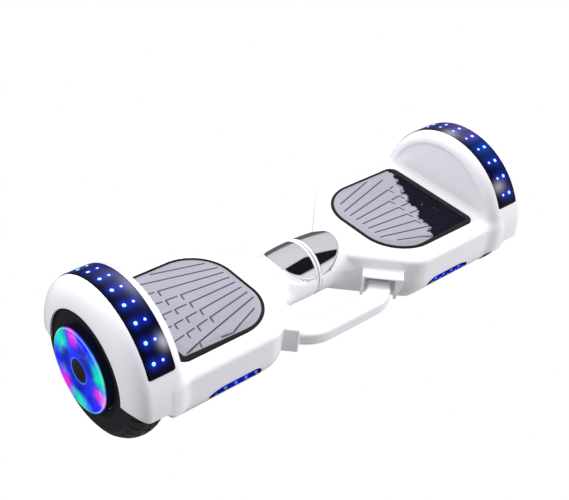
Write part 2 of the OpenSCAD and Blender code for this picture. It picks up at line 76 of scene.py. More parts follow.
WHEEL, TYRE_HALF, RIM_FACE = 256.8, 23.5, 277.55  # wheel centre, tyre half width, lens seat

FAR_INSIDE = -50  # field value that cuts nothing


# ------------------------------------------------------------------ distance fields
def meet(*fields):
    return reduce(np.maximum, fields)


def soft_min(a, b, k):
    """Union with a fillet of size k."""
    h = np.clip(0.5 + 0.5 * (b - a) / k, 0, 1)
    return b + (a - b) * h - k * h * (1 - h)


def soft_max(a, b, k):
    return -soft_min(-a, -b, k)


def carve(solid, tool, k=0.0):
    """Solid less tool, with the rim softened by k."""
    return soft_max(solid, -tool, k) if k else np.maximum(solid, -tool)


def quarter(p, q):
    """Distance to the quarter space p<0, q<0."""
    return np.hypot(np.maximum(p, 0), np.maximum(q, 0)) + np.minimum(np.maximum(p, q), 0)


def round_quarter(p, q, r):
    return quarter(p + r, q + r) - r


def ease(start, end, v):
    """Smooth step from 0 at start to 1 at end."""
    t = np.clip((v - start) / (end - start), 0, 1)
    return t * t * (3 - 2 * t)


def between(p, low, high):
    return np.maximum(low - p, p - high)


def round_box(x, y, z, low, high, r):
    q = [np.abs(c - (a + b) / 2) - (b - a) / 2 + r for c, a, b in zip((x, y, z), low, high)]
    return np.sqrt(sum(np.maximum(c, 0) ** 2 for c in q)) + np.minimum(meet(*q), 0) - r


def axle_distance(y, z):
    return np.hypot(y, z - AXLE)


def arch_distance(y, z):
    """Distance from the axle line, or below it from the upright plane through it."""
    return np.where(z >= AXLE, axle_distance(y, z), np.abs(y))


# ------------------------------------------------------------------ outlines
def body_outline(x, y):
    """A half body seen from above, without its wheel side end."""
    along, across = x - CORNER_X, np.abs(y) - (HALF_DEPTH - CORNER_R)
    walls = np.maximum(across, (across - along) * DIAGONAL)
    at_corner = (along < 0) & (along + across > 0)
    return np.where(at_corner, np.hypot(along, across), walls) - CORNER_R


def recess_outline(x, y):
    """Pad recess: tight corners on the wheel side, wide ones towards the waist."""
    across = np.abs(y - PAD_Y) - PAD_HALF_DEPTH
    return np.where(x > 167, round_quarter(x - PAD_END, across, 9),
                    round_quarter(PAD_START - x, across, 48))


def pad_outline(x, y):
    """The pad itself, set back from its recess along -Y and the wheel side."""
    d = soft_max(recess_outline(x, y), -y - 61.3 - (PAD_END - x) * 0.045, 3)
    return soft_max(d, x - 207.5, 3)


def window_outline(x, z, inset=0.0):
    """A light window: one round end, one long end, and a flat lower edge."""
    past_end = np.where(x < 135.5, x - 135.5, np.where(x > 172, (x - 172) * 10 / 21, 0))
    return np.maximum(np.hypot(past_end, z - 60) - 10 + inset, 57.2 + inset - z)


def cap_outline(x, y, length, half_width, scale):
    """Superellipse round the centre cap."""
    oval = (np.abs(x / length) ** 2.4 + np.abs(y / half_width) ** 2.4) ** (1 / 2.4)
    return oval * scale - scale


# ------------------------------------------------------------------ shells
def body(x, y, z):
    """Half body: upright walls, a rounded shoulder with a soft crease, walls that lean in below."""
    end = x - np.where(axle_distance(y, z) > WELL_R, HORN_END, HALF_END)
    side = body_outline(x, y)
    wall = soft_max(side, end, 3)
    top = quarter(wall + 8, z - (DECK - SHOULDER_R)) - SHOULDER_R
    top = soft_max(wall, top, 0.9)
    lean = 0.8137 * side - 0.5812 * (z - 64.2)
    low = soft_max(soft_max(side, lean, 7), BELLY - z, 7)
    return np.where(z >= 80, top, soft_max(low, end, 3))


def crown_radius(x):
    """Radius of the tapered crown under the bright cap."""
    t = np.clip((x - COLLAR) / CROWN_RUN, 0, 1.6)
    return 33 - 3 * t ** 2 - 35 * np.maximum(t - 1, 0) ** 1.5


def neck(x, y, z):
    """Neck: a tapered crown under the bright cap, and a round belly."""
    r = axle_distance(y, z)
    crown = np.maximum((r - crown_radius(x) + 0.3) * 0.97, x - 64)
    lid = 88 + 16 * (np.clip(x - COLLAR, 0, CROWN_RUN) / CROWN_RUN) ** 2
    belly = np.maximum(soft_max(r - TUBE_R, z - lid, 2), x - TUBE_END)
    return np.maximum(soft_min(crown, belly, 4), COLLAR - x)


def crown_arc(x, r, reach, rise):
    """Elliptic outer quarter of a fender section, from its centre at x 266, radius 60."""
    p, q = x - 266, r - 60
    k0 = np.hypot(p / reach, q / rise)
    k1 = np.hypot(p / (reach * reach), q / (rise * rise))
    ellipse = k0 * (k0 - 1) / np.maximum(k1, 1e-6)
    return np.where((p > 0) & (q > 0), ellipse, np.maximum(p - reach, q - rise))


def fender_section(x, r, z):
    dent = 1.2 * ease(81, 76.5, r) * ease(107, 114, z)
    inner = round_quarter(223 + dent - x, r - 93, 13)
    return np.where(x < 251, inner, crown_arc(x, r, reach=18.0, rise=33.0))


def well_section(x, r):
    """Wheel well, open on the outer side."""
    inner = round_quarter(HALF_END - x, r - WELL_R, 5)
    arc = np.where(x < 251, inner, crown_arc(x, r, reach=15.4, rise=28.2))
    return np.minimum(arc, np.maximum(r - 63.5, 266 - x))


def on_waist(x, y):
    """Coordinates along and out from the 45 degree waist wall on the -Y side."""
    return ((x - 70) - (y + 56)) * DIAGONAL, ((x - 70) + (y + 56)) * DIAGONAL


# block on the waist wall: low and high corner in waist coordinates
WAIST_BLOCK = {"left": ((-18.3, -17.7, 57.0), (22.7, 8, 88)),
               "right": ((-18.3, -17.0, 59.5), (30, 8, 89))}


def outer(x, y, z, side):
    d = soft_min(body(x, y, z), neck(x, y, z), 1.2 + 9 * ease(96, 82, z))
    lower_edge = 74 + 7 * ease(268, 284, x) - 7 * ease(252, 238, x)
    fender = soft_max(fender_section(x, arch_distance(y, z), z), lower_edge - z, 3)
    d = soft_min(d, fender, 9)
    u, v = on_waist(x, y)
    block = round_box(u, v, z, *WAIST_BLOCK[side], 2.2)
    if side == "right":
        block = soft_max(block, (u - 22.7 - (z - 60) * 0.22) * 0.977, 2)  # sloped end
    # nothing reaches over the collar
    return np.maximum(soft_min(d, block, 3), COLLAR - x)


def hollow(x, y, z):
    """Inside of a half, less the ledge that carries the pad."""
    room = np.maximum(body(x, y, z) + WALL, x - (HALF_END - WALL))
    room = soft_max(room, z - (DECK - WALL), 1)
    bore = TUBE_R - WALL
    bore = np.where(z > AXLE, np.minimum(crown_radius(x) - 5, bore), bore)
    tube = np.maximum(axle_distance(y, z) - bore, x - TUBE_END)
    recess = recess_outline(x, y)
    ledge = meet(between(z, 98, 101.5), recess - 6, -(recess + 4))
    return carve(np.minimum(room, tube), ledge)


def strip_seat(x, y, z):
    a = math.radians(STRIP_ANGLE)
    past_end = np.abs(y) * math.cos(a) - (z - AXLE) * math.sin(a) - STRIP_GAP
    side = between(x, STRIP_START - STRIP_GAP, STRIP_END + STRIP_GAP)
    return soft_max(soft_max(side, past_end, 3), STRIP_SEAT_R - axle_distance(y, z), 0.3)


def cap_seat(x, y, z):
    return meet(cap_outline(x, y, 44.4, 32.1, 32.5), 92.7 - z,
                (crown_radius(x) - 2.1) - axle_distance(y, z), x - 60)


def top_shell(x, y, z, side):
    d = carve(outer(x, y, z, side), hollow(x, y, z))
    r = axle_distance(y, z)
    well = np.where(x < 239.5, well_section(x, r), well_section(x, arch_distance(y, z)))
    d = carve(d, well, 0.8)
    # lower edge: the fender stops above the joint, and so does the end wall in the well
    in_well = (x > HALF_END + 0.05) & (r < WELL_R)
    edge = np.where(in_well, 66 - z, FAR_INSIDE)
    d = np.maximum(d, np.where(x > HORN_END + 0.05, 66.5 - z, edge))
    # seats for the cap, the pad, the strip and the light window
    d = carve(d, cap_seat(x, y, z))
    recess = recess_outline(x, y)
    d = carve(d, np.maximum(recess - 3, 101 - z), 0.4)
    d = carve(d, np.maximum(recess + 4, 90 - z))
    d = carve(d, strip_seat(x, y, z), 0.4)
    d = carve(d, np.maximum(window_outline(x, z), y + 76), 0.4)
    # round-topped axle slot through the end wall
    slot = np.hypot(y, np.maximum(z - AXLE, 0)) - 12
    d = carve(d, meet(slot, between(x, 220, 230), 50 - z))
    # pocket in the waist block, and on the right two round openings in the +Y wall
    u, v = on_waist(x, y)
    if side == "left":
        d = carve(d, round_box(u, v, z, (-11.5, -30, 60.4), (15.1, -2.5, 76.6), 3.5))
    else:
        d = carve(d, round_box(u, v, z, (-15.3, -30, 50), (19.7, -0.1, 87), 1.5), 0.6)
        for opening_x in (135, 172):
            d = carve(d, np.maximum(np.hypot(x - opening_x, z - 78) - 9.6, 84 - y))
    return np.maximum(d, SPLIT - z)


def bottom_shell(x, y, z, side):
    tube = meet(axle_distance(y, z) - TUBE_R, COLLAR - x, x - TUBE_END)
    d = carve(soft_min(body(x, y, z), tube, 9), hollow(x, y, z))
    d = meet(d, z - SPLIT + 0.1, x - HALF_END)
    for screw_x, screw_y in SCREWS:
        r = np.hypot(x - screw_x, y - screw_y)
        d = np.minimum(d, np.maximum(r - 5.5, between(z, BELLY + 0.4, 43.9)))  # boss
        d = carve(d, np.maximum(r - 2.1, z - 54))  # hole
        d = carve(d, np.maximum(r - 4.4, z - 38), 0.4)  # head recess
    if side == "right":
        for k in range(6):  # ring of small holes
            a = math.radians(60 * k)
            r = np.hypot(x - 112 - 9 * math.cos(a), y - 9 * math.sin(a))
            d = carve(d, np.maximum(r - 1.6, z - 40))
    return d


# ------------------------------------------------------------------ foot pad
def groove_segments():
    """Seven fan lines with hooked breaks, and four straight ones beside them."""
    fan_start, usual_end = 95, 205
    breaks = {-3: [184], 1: [155, 173], 2: [171], 3: []}  # x of the breaks by fan line
    breaks.update({k: [155 + 1.5 * k, 174 + 1.5 * k, 190 + 2 * k] for k in (-2, -1, 0)})
    early_ends = {2: 182, 3: 181}
    segments = [((102, 44.8), (161, 62)), ((106, -46), (146, -62)),
                ((146, -62), (160, -60.5)), ((95, -31), (200, -59.5))]

    def on_line(k, x):
        return x, k * (10.3 + (x - fan_start) * 0.09)

    for k, stops in breaks.items():
        last = fan_start
        for stop in stops:
            x, y = on_line(k, stop)
            segments.append((on_line(k, last), (x, y)))
            segments.append(((x, y), (x + 1.5, y - 7.5)))  # hook
            last = stop + 4.5
        segments.append((on_line(k, last), on_line(k, early_ends.get(k, usual_end))))
    return segments


GROOVES = groove_segments()


def groove_distance(x, y):
    d = np.full(np.shape(x), 9.0)
    for (x0, y0), (x1, y1) in GROOVES:
        ex, ey = x1 - x0, y1 - y0
        t = np.clip(((x - x0) * ex + (y - y0) * ey) / (ex * ex + ey * ey), 0, 1)
        d = np.minimum(d, np.hypot(x - x0 - t * ex, y - y0 - t * ey))
    return d


def foot_pad(x, y, z):
    """Flat top, bevelled rim, and V grooves that fan out from the waist side."""
    side, top = pad_outline(x, y) + 0.3, z - PAD_TOP
    rim = (side * 0.50 + (z - 104.9)) * 0.894
    d = soft_max(soft_max(side, top, 0.8), soft_max(rim, top, 0.8), 0.8)
    depth = 0.85 - np.minimum(groove_distance(x, y), 3) * 1.05
    d = np.maximum(d, np.where(depth > 0, top + depth, FAR_INSIDE))
    return np.maximum(d, 103 - z)


def gasket(x, y, z):
    ring = soft_max(recess_outline(x, y) - 2.9, z - 105.6, 1.2)
    return soft_max(ring, np.maximum(-pad_outline(x, y) - 0.02, 101.05 - z), 0.3)


# ------------------------------------------------------------------ window, handle and cap
def light_window(x, y, z):
    """A lens that follows the curved -Y wall."""
    wall = body(x, y, z)
    face = soft_max(window_outline(x, z, inset=0.1), wall - 0.6, 1.0)
    return soft_max(face, -(wall + 4), 0.5)


def handle(x, y, z):
    """A bar along -Y with two 45 degree arms that end at the waist walls."""
    ax = np.abs(x)
    half_width = 13.25 * math.sqrt(2)
    arm_line = WAIST + 112 + 1.8 * math.sqrt(2)  # |x| - y on the middle of an arm
    outside = soft_max(-93 - y, (ax - y - arm_line - half_width) * DIAGONAL, 14)
    inside = soft_max(-66.5 - y, (ax - y - arm_line + half_width) * DIAGONAL, 8)
    d = np.maximum(outside, -inside)
    # the arms stop 3 mm from the left waist wall and 4.2 mm from the right one
    stop = np.where(x < 0, WAIST - 3 * math.sqrt(2), WAIST - 4.2 * math.sqrt(2))
    d = soft_max(d, (ax + y - stop) * DIAGONAL, 2)
    return round_quarter(d, np.abs(z - 68.5) - 8, 3.6)


def cap(x, y, z):
    """Bright centre cap: a tapered saddle inside an oval outline."""
    r = axle_distance(y, z)
    d = soft_max(r - crown_radius(x) - 0.15, cap_outline(x, y, 44, 31.8, 32), 0.9)
    return meet(d, 4.25 - x, 93.0 - z, (crown_radius(x) - 2.0) - r)


# ------------------------------------------------------------------ surfaces from fields
BLOCK = 8  # grid points along a block; only blocks near the surface are sampled in full


def sample_grid(field, low, blocks, cell):
    middles = [low[a] + (np.arange(blocks[a]) * BLOCK + 3.5) * cell for a in range(3)]
    coarse = field(*np.meshgrid(*middles, indexing="ij"))
    grid = np.empty((blocks[0], BLOCK, blocks[1], BLOCK, blocks[2], BLOCK), np.float32)
    grid[:] = coarse[:, None, :, None, :, None]
    near = np.argwhere(np.abs(coarse) < BLOCK * cell * 1.15 + 1)
    offsets = np.arange(BLOCK) * cell
    _, *steps = np.ix_([0], offsets, offsets, offsets)
    for start in range(0, len(near), 1500):
        batch = near[start:start + 1500]
        corners = low + batch * BLOCK * cell
        points = [corners[:, a, None, None, None] + steps[a] for a in range(3)]
        values = field(*np.broadcast_arrays(*points))
        grid[batch[:, 0], :, batch[:, 1], :, batch[:, 2], :] = values
    grid = grid.reshape(blocks * BLOCK)
    for a in range(3):  # the border counts as outside, so the surface closes
        layers = np.moveaxis(grid, a, 0)
        layers[0] = layers[-1] = 9
    return grid


def crossings(field, grid, low, cell, axis, stride):
    """Surface points on the grid edges along one axis, and the four cells round each edge."""
    negative = grid < 0
    head, tail = [slice(None)] * 3, [slice(None)] * 3
    head[axis], tail[axis] = slice(0, -1), slice(1, None)
    edge = np.argwhere(negative[tuple(head)] != negative[tuple(tail)])
    far = edge.copy()
    far[:, axis] += 1
    v0, v1 = (grid[tuple(e.T)].astype(float) for e in (edge, far))
    base = low + edge * cell

    def point_at(t):
        p = base.copy()
        p[:, axis] += t * cell
        return p

    t0, t1 = np.zeros(len(edge)), np.ones(len(edge))
    for _ in range(3):
        t = t0 + (t1 - t0) * v0 / (v0 - v1)
        t = np.clip(t, t0 + 0.02 * (t1 - t0), t1 - 0.02 * (t1 - t0))
        v = field(*point_at(t).T)
        same = (v < 0) == (v0 < 0)
        t0, v0 = np.where(same, t, t0), np.where(same, v, v0)
        t1, v1 = np.where(same, t1, t), np.where(same, v1, v)
    points = point_at(t0 + (t1 - t0) * v0 / (v0 - v1 + 1e-12))

    b, c = stride[(axis + 1) % 3], stride[(axis + 2) % 3]
    cells = (edge @ stride)[:, None] + np.array([-b - c, -c, 0, -b])
    leaving = negative[tuple(edge.T)]
    cells[~leaving] = cells[~leaving][:, ::-1]
    return points, cells


def normals(field, points, reach=0.04):
    """Unit gradients from four samples at the corners of a tetrahedron."""
    g = np.zeros_like(points)
    for k in ((1, -1, -1), (-1, -1, 1), (-1, 1, -1), (1, 1, 1)):
        k = np.array(k, float)
        g += k * field(*(points + reach * k).T)[:, None]
    return g / (np.linalg.norm(g, axis=1, keepdims=True) + 1e-9)


def surface(field, low, high, cell):
    """Vertices and quads of the zero surface of a field, by dual contouring: sharp edges stay."""
    low = np.array(low, float)
    blocks = (np.ceil((np.array(high, float) - low) / cell).astype(int) + 2 + 7) // BLOCK
    grid = sample_grid(field, low, blocks, cell)
    dims = np.array(grid.shape)
    stride = np.array([dims[1] * dims[2], dims[2], 1])
    found = [crossings(field, grid, low, cell, a, stride) for a in range(3)]
    points, cells = (np.concatenate(part) for part in zip(*found))
    g = normals(field, points)

    # one vertex per cell, where the tangent planes of its crossings meet
    used, quads = np.unique(cells.ravel(), return_inverse=True)
    quads = quads.reshape(cells.shape)
    total, flat = len(used), quads.ravel()
    count = np.bincount(flat, minlength=total).astype(float)

    def gather(w):
        return np.bincount(flat, weights=np.repeat(w, 4), minlength=total)

    mean = np.stack([gather(points[:, i]) for i in range(3)], 1) / count[:, None]
    plane = (g * points).sum(1)
    lhs = np.empty((total, 3, 3))
    for i in range(3):
        for j in range(i, 3):
            lhs[:, i, j] = lhs[:, j, i] = gather(g[:, i] * g[:, j])
    rhs = np.stack([gather(g[:, i] * plane) for i in range(3)], 1)
    rhs -= np.einsum("mij,mj->mi", lhs, mean)
    lhs += np.eye(3) * (0.04 * count[:, None, None])  # pull towards the mean
    offset = np.linalg.solve(lhs, rhs[..., None])[..., 0]
    ijk = np.stack([used // stride[0], (used // stride[1]) % dims[1], used % dims[2]], 1)
    cell_low = low + ijk * cell
    return np.clip(mean + offset, cell_low - 0.15 * cell, cell_low + 1.15 * cell), quads


# ------------------------------------------------------------------ swept surfaces
def outward(verts, quads):
    """Turns the faces outwards, judged by the signed volume."""
    a, b, c, d = (verts[quads[:, i]] for i in range(4))
    volume = np.einsum("ij,ij->i", a, np.cross(b, c)) + np.einsum("ij,ij->i", a, np.cross(c, d))
    return quads if volume.sum() > 0 else quads[:, ::-1]


def sweep(profile, n, reshape=None, start=0.0, stop=360.0):
    """Sweeps a closed (x, radius) profile about the axle line, in degrees from the top to -Y."""
    profile = np.array(profile, float)
    full = stop - start >= 360
    angles = np.radians(np.linspace(start, stop, n, endpoint=not full))
    X = np.repeat(profile[None, :, 0], n, 0)
    R = np.repeat(profile[None, :, 1], n, 0)
    if reshape is not None:
        X, R = reshape(X, R, angles[:, None])
    verts = [X, -R * np.sin(angles)[:, None], AXLE + R * np.cos(angles)[:, None]]
    verts = np.stack(verts, -1).reshape(-1, 3)
    m = len(profile)
    I, J = np.meshgrid(np.arange(n if full else n - 1), np.arange(m), indexing="ij")
    I2, J2 = (I + 1) % n, (J + 1) % m
    quads = np.stack([I * m + J, I2 * m + J, I2 * m + J2, I * m + J2], -1).reshape(-1, 4)
    return verts, outward(verts, quads)


def fender_strip():
    """Cover strip over a fender: gently crowned, with rounded corners and closed ends."""
    edge = [(0, 90.25), (0, 92.7), (0.2, 93.35), (0.75, 93.7)]  # distance in from the side, radius
    profile = [(STRIP_START + inset, r) for inset, r in edge]
    profile += [(x, 93.75 + 0.25 * math.sin(math.pi * (x - 236.5) / 28.4))
                for x in np.linspace(236.9, 264.5, 22)]
    profile += [(STRIP_END - inset, r) for inset, r in reversed(edge)]
    corner, top_bevel = 3.2, 0.7
    middle, half = (STRIP_START + STRIP_END) / 2, (STRIP_END - STRIP_START) / 2

    def round_ends(X, R, A):
        to_end = (STRIP_ANGLE - np.abs(np.degrees(A))) * math.pi / 180 * ARC_R
        k = np.clip(corner - to_end, 0, corner)
        inset = corner - np.sqrt(np.maximum(corner ** 2 - k ** 2, 0.0))
        drop = np.clip(top_bevel - to_end, 0, top_bevel) * (R > 91)
        return middle + (X - middle) * (1 - inset / half), R - drop

    n, m = 300, len(profile)
    verts, quads = sweep(profile, n, round_ends, -STRIP_ANGLE, STRIP_ANGLE)
    i = np.arange(m // 2 - 1)
    ladder = np.stack([i, i + 1, m - 2 - i, m - 1 - i], 1)
    parts = [quads]
    for first, inward in ((0, m), ((n - 1) * m, -m)):
        end = ladder + first
        a, b, c = (verts[end[:, k]] for k in range(3))
        out = a - verts[end[:, 0] + inward]
        flip = (np.cross(b - a, c - a) * out).sum(1) < 0
        end[flip] = end[flip][:, ::-1]
        parts.append(end)
    return verts, np.concatenate(parts)


def domes(spots, height=0.55, skirt=1.2, n=20, rings=5):
    """Small domes, each with a skirt below its foot; a spot is (centre, normal, radius)."""
    verts, quads, hearts = [], [], []
    turns = [2 * math.pi * k / n for k in range(n)]
    # fraction of the radius and height above the foot, ring by ring; the skirt comes last
    levels = [(math.sin(math.pi / 2 * (1 - f)), height * math.sin(math.pi / 2 * f))
              for f in (i / (rings - 1) for i in range(rings))] + [(1, -skirt)]
    for centre, normal, r in spots:
        centre, normal = np.array(centre), np.array(normal, float)
        t = np.cross(normal, (1.0, 0, 0))
        t /= np.linalg.norm(t)
        b = np.cross(normal, t)
        base = len(verts)
        for fraction, lift in levels:
            verts += [centre + normal * lift
                      + (t * math.cos(a) + b * math.sin(a)) * max(r * fraction, 0.02)
                      for a in turns]
        pairs = [(i, i + 1) for i in range(rings - 1)] + [(rings, 0)]
        for low, high in ((base + p * n, base + q * n) for p, q in pairs):
            quads += [[low + k, low + (k + 1) % n, high + (k + 1) % n, high + k]
                      for k in range(n)]
            hearts += [centre - normal * 0.6] * n
    v, q = np.array(verts), np.array(quads)
    facing = np.cross(v[q[:, 1]] - v[q[:, 0]], v[q[:, 2]] - v[q[:, 0]])
    flip = (facing * (v[q].mean(1) - np.array(hearts))).sum(1) < 0
    q[flip] = q[flip][:, ::-1]
    return v, q


def fender_lamps():
    spots = []
    for i in range(PAIRS):
        a = math.radians((i - (PAIRS - 1) / 2) * PITCH)
        normal = (0, -math.sin(a), math.cos(a))
        for x, r in ((INNER_LAMP_X, 1.5), (OUTER_LAMP_X, 2.1)):
            spots.append(((x, LAMP_R * normal[1], AXLE + LAMP_R * normal[2]), normal, r))
    return domes(spots)


def tyre():
    """Rounded crown, stepped outer sidewall, sipes, ribs and small pits in the tread."""
    foot_r, crown_r, sipes = 61.7, 85.0, 36
    outer_face, inner_face = WHEEL + TYRE_HALF, WHEEL - TYRE_HALF
    profile = [(outer_face + dx, r) for dx, r in (
        (-0.8, 47.4), (-0.35, 48.6), (-0.1, 52), (0.25, 54.6),
        (0.25, 56.6), (-0.25, 57.4), (-0.25, 59.0), (-0.05, 60.4))]
    for degrees in np.linspace(0, 180, 91):
        c, s = math.cos(math.radians(degrees)), math.sin(math.radians(degrees))
        x, r = WHEEL + TYRE_HALF * c, foot_r + (crown_r - foot_r) * s ** 0.84
        if degrees < 60:  # two raised steps on the outer sidewall
            x += 0.7 * (ease(66.5, 66.9, r) - ease(71.8, 72.2, r))
            x += 0.45 * (ease(76.2, 76.5, r) - ease(78.0, 78.3, r))
        profile.append((x, r))
    profile += [(inner_face + 0.6, 51), (235.95, 51), (235.95, 58.45),
                (RIM_FACE, 58.45), (RIM_FACE, 47.2)]

    def tread(X, R, A):
        across = np.abs(X - WHEEL)
        phase = np.abs(((A * sipes / (2 * math.pi) + across * 0.018) % 1.0) - 0.5)
        sipe = ease(0.075, 0.045, phase) * ease(4.0, 5.5, across) * ease(21.5, 19.5, across)
        sipe = sipe * ease(70.5, 74, R) * (R > 60)
        rib = ease(1.6, 1.0, np.abs(across - 3.2)) * ease(80, 82, R)
        phase = np.abs(((A * (2 * sipes) / (2 * math.pi)) % 1.0) - 0.5)
        pit = ease(0.12, 0.08, phase) * ease(1.2, 0.8, np.abs(across - 11.5)) * ease(78, 80, R)
        return X, R - 1.5 * meet(sipe, rib, pit * 0.8)

    return sweep(profile, TYRE_STEPS, tread)


# closed (x, radius) profiles
COLLAR_RING = [(0.6, 18.5), (0.6, 32.6), (0.95, 33.2), (3.55, 33.2), (3.9, 32.9), (3.9, 18.5)]
CENTRE_SEAL = [(-0.45, 14), (-0.45, 31.7), (0.45, 31.7), (0.45, 14)]
HUB_LENS = [
    (RIM_FACE, 42.8), (RIM_FACE, 46.3),
    *((288.4 + 1.5 * math.sin(t), 44.7 + 1.6 * math.cos(t))
      for t in np.linspace(0, math.pi / 2, 8)),
    *((289.9 + 0.1 * ease(44.5, 40, r), r) for r in np.linspace(43.5, 14.2, 24)),
    (289.85, 13.5), (289.4, 13.2), (287.6, 13.2), (287.6, 37.3), (284, 42.8)]
HUB_CAP = [
    (277.6, 0.01), (288.4, 0.01), (288.4, 8.2), (288.8, 9.2), (289.6, 10.6), (289.95, 11.4),
    (289.95, 12.4), (289.6, 12.9), (289.0, 13.0), (277.6, 13.0)]


# ------------------------------------------------------------------ shader helpers
class Nodes:
    """Short calls that add nodes to a tree and return their outputs."""

    def __init__(self, tree):
        self.tree = tree

    def new(self, kind):
        return self.tree.nodes.new("ShaderNode" + kind)

    def put(self, socket, value):
        if isinstance(value, bpy.types.NodeSocket):
            self.tree.links.new(value, socket)
        elif isinstance(value, tuple) and len(value) == 3 and socket.type == "RGBA":
            socket.default_value = (*value, 1.0)
        else:
            socket.default_value = value

    def math(self, operation, *values):
        n = self.new("Math")
        n.operation = operation
        for socket, value in zip(n.inputs, values):
            self.put(socket, value)
        return n.outputs[0]

    def mul(self, *values):
        return reduce(partial(self.math, "MULTIPLY"), values)

    def add(self, *values):
        return reduce(partial(self.math, "ADD"), values)

    def sub(self, a, b):
        return self.math("SUBTRACT", a, b)

    def bell(self, offsets, width):
        """exp(-(distance / width)^2), for a distance given by its offsets."""
        squares = self.add(*[self.mul(d, d) for d in offsets])
        return self.math("EXPONENT", self.mul(squares, -1.0 / (width * width)))

    def gauss(self, value, centre, width):
        d = self.math("DIVIDE", self.sub(value, centre), width)
        return self.math("EXPONENT", self.mul(d, d, -1.0))

    def fade(self, value, zero, one):
        """Smooth step: 0 where value is zero's, 1 where it is one's, either way round."""
        n = self.new("MapRange")
        n.interpolation_type = "SMOOTHSTEP"
        rising = zero < one
        settings = {"Value": value, "From Min": min(zero, one), "From Max": max(zero, one),
                    "To Min": 0 if rising else 1, "To Max": 1 if rising else 0}
        for name, setting in settings.items():
            self.put(n.inputs[name], setting)
        return n.outputs[0]

    def ramp(self, value, stops):
        n = self.new("ValToRGB")
        self.put(n.inputs[0], value)
        elements = n.color_ramp.elements
        for element, (place, colour) in zip(elements, (stops[0], stops[-1])):
            element.position, element.color = place, (*colour, 1)
        for place, colour in stops[1:-1]:
            elements.new(place).color = (*colour, 1)
        return n.outputs[0]

    def mix(self, factor, a, b, kind="MIX"):
        n = self.new("Mix")
        n.data_type, n.blend_type = "RGBA", kind
        for socket, value in ((0, factor), (6, a), (7, b)):
            self.put(n.inputs[socket], value)
        return n.outputs[2]


class Finish(Nodes):
    """A material round its Principled shader; lengths in its graph are millimetres."""

    def __init__(self, name, colour, rough, metal=0.0, **inputs):
        self.material = bpy.data.materials.new(name)
        self.material.use_nodes = True
        super().__init__(self.material.node_tree)
        self.shader = self.tree.nodes["Principled BSDF"]
        self.set(Base_Color=colour, Roughness=rough, Metallic=metal, **inputs)

    def set(self, **inputs):
        for name, value in inputs.items():
            self.put(self.shader.inputs[name.replace("_", " ")], value)

    @cached_property
    def position(self):
        return self.new("TexCoord").outputs["Object"]

    @cached_property
    def axes(self):
        n = self.new("SeparateXYZ")
        self.put(n.inputs[0], self.position)
        return n.outputs

    x = cached_property(lambda self: self.mul(self.axes[0], 1000.0))
    y = cached_property(lambda self: self.mul(self.axes[1], 1000.0))
    z = cached_property(lambda self: self.mul(self.axes[2], 1000.0))
    # distance from the middle plane
    out = cached_property(lambda self: self.math("ABSOLUTE", self.x))

    def angle(self):
        """Degrees about the axle line from the top, towards -Y."""
        a = self.math("ARCTAN2", self.mul(self.y, -1.0), self.sub(self.z, AXLE))
        return self.mul(a, 57.29578)

    def radius(self):
        z = self.sub(self.z, AXLE)
        return self.math("SQRT", self.add(self.mul(self.y, self.y), self.mul(z, z)))

    def noise(self, scale, detail=2.0, rough=0.5):
        n = self.new("TexNoise")
        settings = {"Vector": self.position, "Scale": scale, "Detail": detail, "Roughness": rough}
        for name, setting in settings.items():
            self.put(n.inputs[name], setting)
        return n.outputs["Fac"]

    def bump(self, height, strength, distance):
        n = self.new("Bump")
        for name, value in (("Height", height), ("Strength", strength), ("Distance", distance)):
            self.put(n.inputs[name], value)
        self.set(Normal=n.outputs[0])

    def glow(self, colour, strength=1.0):
        self.set(Emission_Color=colour, Emission_Strength=strength)


# ------------------------------------------------------------------ materials
# haze: colours along the strip from its +Y end; side: where across the strip it fades;
# grey patches of painted reflection on the glossy cover, as (centre along, width, centre across,
# width, strength)
STRIP_LOOKS = {
    "left": dict(
        haze=[(0.0, (0.02, 0.02, 0.06)), (0.22, (0.02, 0.025, 0.16)), (0.36, (0.05, 0.06, 0.34)),
              (0.46, (0.16, 0.17, 0.52)), (0.54, (0.11, 0.12, 0.42)), (0.63, (0.02, 0.03, 0.30)),
              (0.72, (0.0, 0.004, 0.10)), (0.80, (0.0, 0.002, 0.04)),
              (0.90, (0.004, 0.006, 0.05)), (1.0, (0.0, 0.0, 0.01))],
        side=dict(zero=1.0, one=0.25),
        painted_sheen=[(0.86, 0.035, 0.12, 0.20, 0.55), (0.56, 0.08, 0.08, 0.22, 0.22)]),
    "right": dict(
        haze=[(0.0, (0.02, 0.02, 0.03)), (0.25, (0.045, 0.04, 0.08)), (0.38, (0.13, 0.11, 0.30)),
              (0.47, (0.26, 0.22, 0.50)), (0.55, (0.20, 0.14, 0.50)), (0.60, (0.0, 0.05, 0.45)),
              (0.66, (0.0, 0.08, 0.42)), (0.74, (0.0, 0.03, 0.22)), (0.82, (0.01, 0.01, 0.10)),
              (0.90, (0.03, 0.025, 0.08)), (1.0, (0.01, 0.01, 0.02))],
        side=dict(zero=-0.3, one=0.6),
        painted_sheen=[(0.88, 0.03, 0.25, 0.30, 0.42), (0.46, 0.05, 0.10, 0.25, 0.40)]),
}


